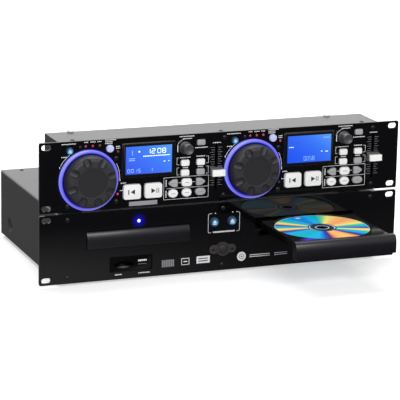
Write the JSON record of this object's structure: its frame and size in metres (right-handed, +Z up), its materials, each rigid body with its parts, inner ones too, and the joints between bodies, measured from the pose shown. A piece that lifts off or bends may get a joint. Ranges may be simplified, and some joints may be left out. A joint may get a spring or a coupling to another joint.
{
  "type": "rack-mount dual disc player",
  "caption": "Rack disc player for mixing: a drive unit with disc trays, one open, under a controller with jog wheels, displays, keys and pitch faders.",
  "frame": {"origin": "under the middle of the whole unit, on the surface it stands on", "axes": "+X to the right across the panels, +Y from the front panels to the rear, +Z up"},
  "size_m": [0.4826, 0.391, 0.1825],
  "materials": {
    "panel_black": "gloss black",
    "case_black": "fine satin black",
    "chassis_steel": "zinc-plated sheet",
    "frame_plastic": "moulded",
    "tray_plastic": "satin black",
    "fascia_plastic": "gloss black",
    "gear_plastic": "natural acetal",
    "platter_plastic": "moulded",
    "disc_plastic": "silver with a rainbow sheen",
    "wheel_plastic": "soft matte",
    "ring_clear": "clear, lit blue",
    "display_gloss": "gloss black with a lit blue window",
    "insert_plastic": "moulded",
    "knob_dark": "moulded",
    "fader_plastic": "white and grey",
    "key_white": "white, lit",
    "key_grey": "grey",
    "key_blue": "lit blue",
    "key_black": "black",
    "foot_rubber": "matte",
    "socket_mixed": "moulded"
  },
  "bodies": {
    "unit": {"drive_front_panel": "panel_black", "drive_chassis": "chassis_steel", "drive_top_cover": "case_black", "controller_front_panel": "panel_black", "controller_case": "case_black", "loader_frames": "frame_plastic", "display_windows": "display_gloss", "light_rings": "ring_clear", "panel_inserts": "insert_plastic", "rubber_feet": "foot_rubber", "rear_sockets": "socket_mixed"},
    "left_loader_tray": {"left_tray": "tray_plastic", "left_tray_fascia": "fascia_plastic"},
    "right_loader_tray": {"right_tray": "tray_plastic", "right_tray_fascia": "fascia_plastic"},
    "compact_disc": {"disc": "disc_plastic"},
    "left_drive_pinion": {"left_pinion": "gear_plastic"},
    "left_disc_platter": {"left_turntable": "platter_plastic"},
    "left_jog": {"left_jog_wheel": "wheel_plastic"},
    "left_search": {"left_search_knob": "knob_dark"},
    "left_fader": {"left_fader_knob": "fader_plastic"},
    "left_open_button": {"left_open_key": "key_blue"},
    "left_eject_key_button": {"left_eject_key": "key_blue"},
    "left_source_key_button": {"left_source_key": "key_white"},
    "left_menu_pad_button": {"left_menu_pad": "key_grey"},
    "left_cue_key_button": {"left_cue_key": "key_white"},
    "left_play_key_button": {"left_play_key": "key_white"},
    "left_mode_pad_1_button": {"left_mode_pad_1": "key_white"},
    "left_mode_pad_2_button": {"left_mode_pad_2": "key_white"},
    "left_mode_pad_3_button": {"left_mode_pad_3": "key_white"},
    "left_mode_pad_4_button": {"left_mode_pad_4": "key_grey"},
    "left_loop_key_1_button": {"left_loop_key_1": "key_grey"},
    "left_loop_key_2_button": {"left_loop_key_2": "key_white"},
    "left_loop_key_3_button": {"left_loop_key_3": "key_grey"},
    "left_loop_key_4_button": {"left_loop_key_4": "key_white"},
    "left_loop_key_5_button": {"left_loop_key_5": "key_white"},
    "left_loop_key_6_button": {"left_loop_key_6": "key_grey"},
    "right_drive_pinion": {"right_pinion": "gear_plastic"},
    "right_disc_platter": {"right_turntable": "platter_plastic"},
    "right_jog": {"right_jog_wheel": "wheel_plastic"},
    "right_search": {"right_search_knob": "knob_dark"},
    "right_fader": {"right_fader_knob": "fader_plastic"},
    "right_open_button": {"right_open_key": "key_blue"},
    "right_eject_key_button": {"right_eject_key": "key_blue"},
    "right_source_key_button": {"right_source_key": "key_white"},
    "right_menu_pad_button": {"right_menu_pad": "key_grey"},
    "right_cue_key_button": {"right_cue_key": "key_white"},
    "right_play_key_button": {"right_play_key": "key_white"},
    "right_mode_pad_1_button": {"right_mode_pad_1": "key_white"},
    "right_mode_pad_2_button": {"right_mode_pad_2": "key_white"},
    "right_mode_pad_3_button": {"right_mode_pad_3": "key_white"},
    "right_mode_pad_4_button": {"right_mode_pad_4": "key_grey"},
    "right_loop_key_1_button": {"right_loop_key_1": "key_grey"},
    "right_loop_key_2_button": {"right_loop_key_2": "key_white"},
    "right_loop_key_3_button": {"right_loop_key_3": "key_grey"},
    "right_loop_key_4_button": {"right_loop_key_4": "key_white"},
    "right_loop_key_5_button": {"right_loop_key_5": "key_white"},
    "right_loop_key_6_button": {"right_loop_key_6": "key_grey"},
    "power_button": {"power_key": "key_black"}
  },
  "joints": [
    {"name": "left_tray_slide", "type": "slide", "parent": "unit", "child": "left_loader_tray", "axis": [0, -1, 0], "range_m": [0, 0.126]},
    {"name": "right_tray_slide", "type": "slide", "parent": "unit", "child": "right_loader_tray", "axis": [0, 1, 0], "range_m": [0, 0.126]},
    {"name": "disc_spin", "type": "hinge", "parent": "right_loader_tray", "child": "compact_disc", "pos_m": [0.11255, -0.12155, 0.06355], "axis": [0, 0, 1], "continuous": true},
    {"name": "left_pinion_spin", "type": "hinge", "parent": "unit", "child": "left_drive_pinion", "pos_m": [-0.1542, -0.03555, 0.05655], "axis": [0, 0, 1], "range_deg": [-0.5, 573.46]},
    {"name": "left_turntable_spin", "type": "hinge", "parent": "unit", "child": "left_disc_platter", "pos_m": [-0.11255, 0.00445, 0.05635], "axis": [0, 0, 1], "continuous": true},
    {"name": "left_jog_spin", "type": "hinge", "parent": "unit", "child": "left_jog", "pos_m": [-0.1788, -0.07685, 0.13305], "axis": [0, 1, 0], "continuous": true},
    {"name": "left_search_spin", "type": "hinge", "parent": "unit", "child": "left_search", "pos_m": [-0.0528, -0.07485, 0.16575], "axis": [0, 1, 0], "continuous": true},
    {"name": "left_fader_slide", "type": "slide", "parent": "unit", "child": "left_fader", "axis": [0, 0, 1], "range_m": [-0.0184, 0.0316]},
    {"name": "left_open_press", "type": "slide", "parent": "unit", "child": "left_open_button", "axis": [0, 1, 0], "range_m": [0, 0.001], "stiffness_N_per_m": 400},
    {"name": "left_eject_key_press", "type": "slide", "parent": "unit", "child": "left_eject_key_button", "axis": [0, 1, 0], "range_m": [0, 0.001], "stiffness_N_per_m": 400},
    {"name": "left_source_key_press", "type": "slide", "parent": "unit", "child": "left_source_key_button", "axis": [0, 1, 0], "range_m": [0, 0.001], "stiffness_N_per_m": 400},
    {"name": "left_menu_pad_press", "type": "slide", "parent": "unit", "child": "left_menu_pad_button", "axis": [0, 1, 0], "range_m": [0, 0.001], "stiffness_N_per_m": 400},
    {"name": "left_cue_key_press", "type": "slide", "parent": "unit", "child": "left_cue_key_button", "axis": [0, 1, 0], "range_m": [0, 0.001], "stiffness_N_per_m": 400},
    {"name": "left_play_key_press", "type": "slide", "parent": "unit", "child": "left_play_key_button", "axis": [0, 1, 0], "range_m": [0, 0.001], "stiffness_N_per_m": 400},
    {"name": "left_mode_pad_1_press", "type": "slide", "parent": "unit", "child": "left_mode_pad_1_button", "axis": [0, 1, 0], "range_m": [0, 0.001], "stiffness_N_per_m": 400},
    {"name": "left_mode_pad_2_press", "type": "slide", "parent": "unit", "child": "left_mode_pad_2_button", "axis": [0, 1, 0], "range_m": [0, 0.001], "stiffness_N_per_m": 400},
    {"name": "left_mode_pad_3_press", "type": "slide", "parent": "unit", "child": "left_mode_pad_3_button", "axis": [0, 1, 0], "range_m": [0, 0.001], "stiffness_N_per_m": 400},
    {"name": "left_mode_pad_4_press", "type": "slide", "parent": "unit", "child": "left_mode_pad_4_button", "axis": [0, 1, 0], "range_m": [0, 0.001], "stiffness_N_per_m": 400},
    {"name": "left_loop_key_1_press", "type": "slide", "parent": "unit", "child": "left_loop_key_1_button", "axis": [0, 1, 0], "range_m": [0, 0.001], "stiffness_N_per_m": 400},
    {"name": "left_loop_key_2_press", "type": "slide", "parent": "unit", "child": "left_loop_key_2_button", "axis": [0, 1, 0], "range_m": [0, 0.001], "stiffness_N_per_m": 400},
    {"name": "left_loop_key_3_press", "type": "slide", "parent": "unit", "child": "left_loop_key_3_button", "axis": [0, 1, 0], "range_m": [0, 0.001], "stiffness_N_per_m": 400},
    {"name": "left_loop_key_4_press", "type": "slide", "parent": "unit", "child": "left_loop_key_4_button", "axis": [0, 1, 0], "range_m": [0, 0.001], "stiffness_N_per_m": 400},
    {"name": "left_loop_key_5_press", "type": "slide", "parent": "unit", "child": "left_loop_key_5_button", "axis": [0, 1, 0], "range_m": [0, 0.001], "stiffness_N_per_m": 400},
    {"name": "left_loop_key_6_press", "type": "slide", "parent": "unit", "child": "left_loop_key_6_button", "axis": [0, 1, 0], "range_m": [0, 0.001], "stiffness_N_per_m": 400},
    {"name": "right_pinion_spin", "type": "hinge", "parent": "unit", "child": "right_drive_pinion", "pos_m": [0.0709, -0.03555, 0.05655], "axis": [0, 0, 1], "range_deg": [-573.46, 0.5]},
    {"name": "right_turntable_spin", "type": "hinge", "parent": "unit", "child": "right_disc_platter", "pos_m": [0.11255, 0.00445, 0.05635], "axis": [0, 0, 1], "continuous": true},
    {"name": "right_jog_spin", "type": "hinge", "parent": "unit", "child": "right_jog", "pos_m": [0.0377, -0.07685, 0.13305], "axis": [0, 1, 0], "continuous": true},
    {"name": "right_search_spin", "type": "hinge", "parent": "unit", "child": "right_search", "pos_m": [0.1637, -0.07485, 0.16575], "axis": [0, 1, 0], "continuous": true},
    {"name": "right_fader_slide", "type": "slide", "parent": "unit", "child": "right_fader", "axis": [0, 0, 1], "range_m": [-0.0236, 0.0264]},
    {"name": "right_open_press", "type": "slide", "parent": "unit", "child": "right_open_button", "axis": [0, 1, 0], "range_m": [0, 0.001], "stiffness_N_per_m": 400},
    {"name": "right_eject_key_press", "type": "slide", "parent": "unit", "child": "right_eject_key_button", "axis": [0, 1, 0], "range_m": [0, 0.001], "stiffness_N_per_m": 400},
    {"name": "right_source_key_press", "type": "slide", "parent": "unit", "child": "right_source_key_button", "axis": [0, 1, 0], "range_m": [0, 0.001], "stiffness_N_per_m": 400},
    {"name": "right_menu_pad_press", "type": "slide", "parent": "unit", "child": "right_menu_pad_button", "axis": [0, 1, 0], "range_m": [0, 0.001], "stiffness_N_per_m": 400},
    {"name": "right_cue_key_press", "type": "slide", "parent": "unit", "child": "right_cue_key_button", "axis": [0, 1, 0], "range_m": [0, 0.001], "stiffness_N_per_m": 400},
    {"name": "right_play_key_press", "type": "slide", "parent": "unit", "child": "right_play_key_button", "axis": [0, 1, 0], "range_m": [0, 0.001], "stiffness_N_per_m": 400},
    {"name": "right_mode_pad_1_press", "type": "slide", "parent": "unit", "child": "right_mode_pad_1_button", "axis": [0, 1, 0], "range_m": [0, 0.001], "stiffness_N_per_m": 400},
    {"name": "right_mode_pad_2_press", "type": "slide", "parent": "unit", "child": "right_mode_pad_2_button", "axis": [0, 1, 0], "range_m": [0, 0.001], "stiffness_N_per_m": 400},
    {"name": "right_mode_pad_3_press", "type": "slide", "parent": "unit", "child": "right_mode_pad_3_button", "axis": [0, 1, 0], "range_m": [0, 0.001], "stiffness_N_per_m": 400},
    {"name": "right_mode_pad_4_press", "type": "slide", "parent": "unit", "child": "right_mode_pad_4_button", "axis": [0, 1, 0], "range_m": [0, 0.001], "stiffness_N_per_m": 400},
    {"name": "right_loop_key_1_press", "type": "slide", "parent": "unit", "child": "right_loop_key_1_button", "axis": [0, 1, 0], "range_m": [0, 0.001], "stiffness_N_per_m": 400},
    {"name": "right_loop_key_2_press", "type": "slide", "parent": "unit", "child": "right_loop_key_2_button", "axis": [0, 1, 0], "range_m": [0, 0.001], "stiffness_N_per_m": 400},
    {"name": "right_loop_key_3_press", "type": "slide", "parent": "unit", "child": "right_loop_key_3_button", "axis": [0, 1, 0], "range_m": [0, 0.001], "stiffness_N_per_m": 400},
    {"name": "right_loop_key_4_press", "type": "slide", "parent": "unit", "child": "right_loop_key_4_button", "axis": [0, 1, 0], "range_m": [0, 0.001], "stiffness_N_per_m": 400},
    {"name": "right_loop_key_5_press", "type": "slide", "parent": "unit", "child": "right_loop_key_5_button", "axis": [0, 1, 0], "range_m": [0, 0.001], "stiffness_N_per_m": 400},
    {"name": "right_loop_key_6_press", "type": "slide", "parent": "unit", "child": "right_loop_key_6_button", "axis": [0, 1, 0], "range_m": [0, 0.001], "stiffness_N_per_m": 400},
    {"name": "power_press", "type": "slide", "parent": "unit", "child": "power_button", "axis": [0, 1, 0], "range_m": [0, 0.0025], "stiffness_N_per_m": 400}
  ],
  "couplings": [
    {"joint": "left_pinion_spin", "follows": "left_tray_slide", "rad_per_m": 79.365},
    {"joint": "right_pinion_spin", "follows": "right_tray_slide", "rad_per_m": -79.365}
  ]
}
